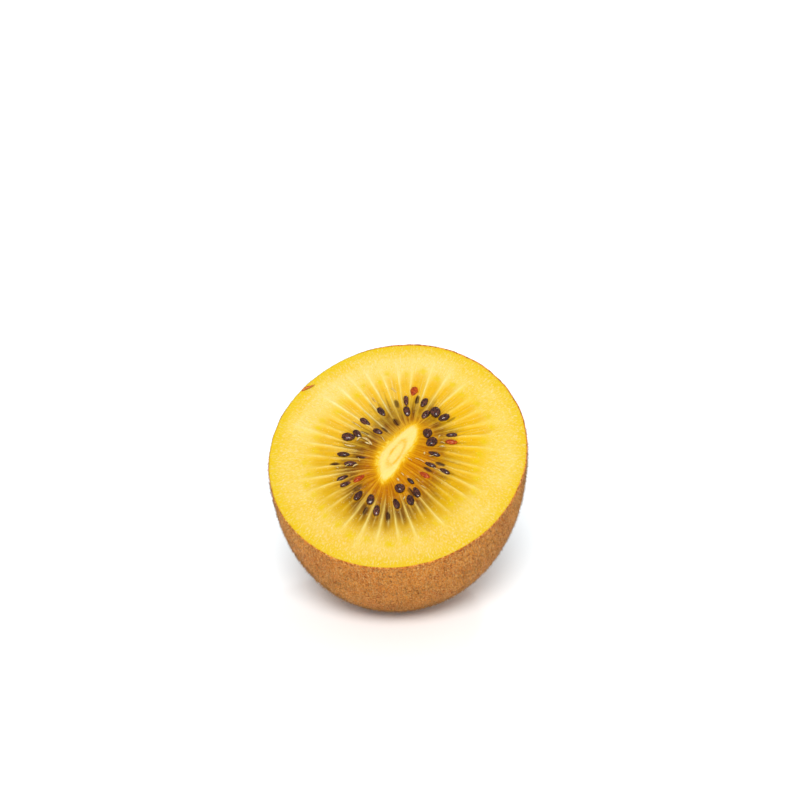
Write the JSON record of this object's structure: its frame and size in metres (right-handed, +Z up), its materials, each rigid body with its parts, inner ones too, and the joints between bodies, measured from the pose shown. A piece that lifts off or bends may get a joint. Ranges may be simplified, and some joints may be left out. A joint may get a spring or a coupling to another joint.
{
  "type": "golden kiwi fruit half",
  "caption": "Half of a golden kiwi fruit, cut across the middle, resting on its skin with the rayed yellow face, pale core and dark seeds tipped up to the front.",
  "frame": {"origin": "on the surface that the half rests on, under the middle of its bounding box", "axes": "+Z up, -Y to the front, where the cut face is tipped to, +X to the right of the cut face; the stem end points back and down"},
  "size_m": [0.0498, 0.053, 0.0513],
  "materials": {
    "flesh": "wet cut fruit",
    "skin": "matt, with fine short fuzz",
    "core": "moist and soft",
    "seeds": "wet and glossy"
  },
  "bodies": {
    "root": {"kiwi_half": "flesh"}
  },
  "joints": []
}
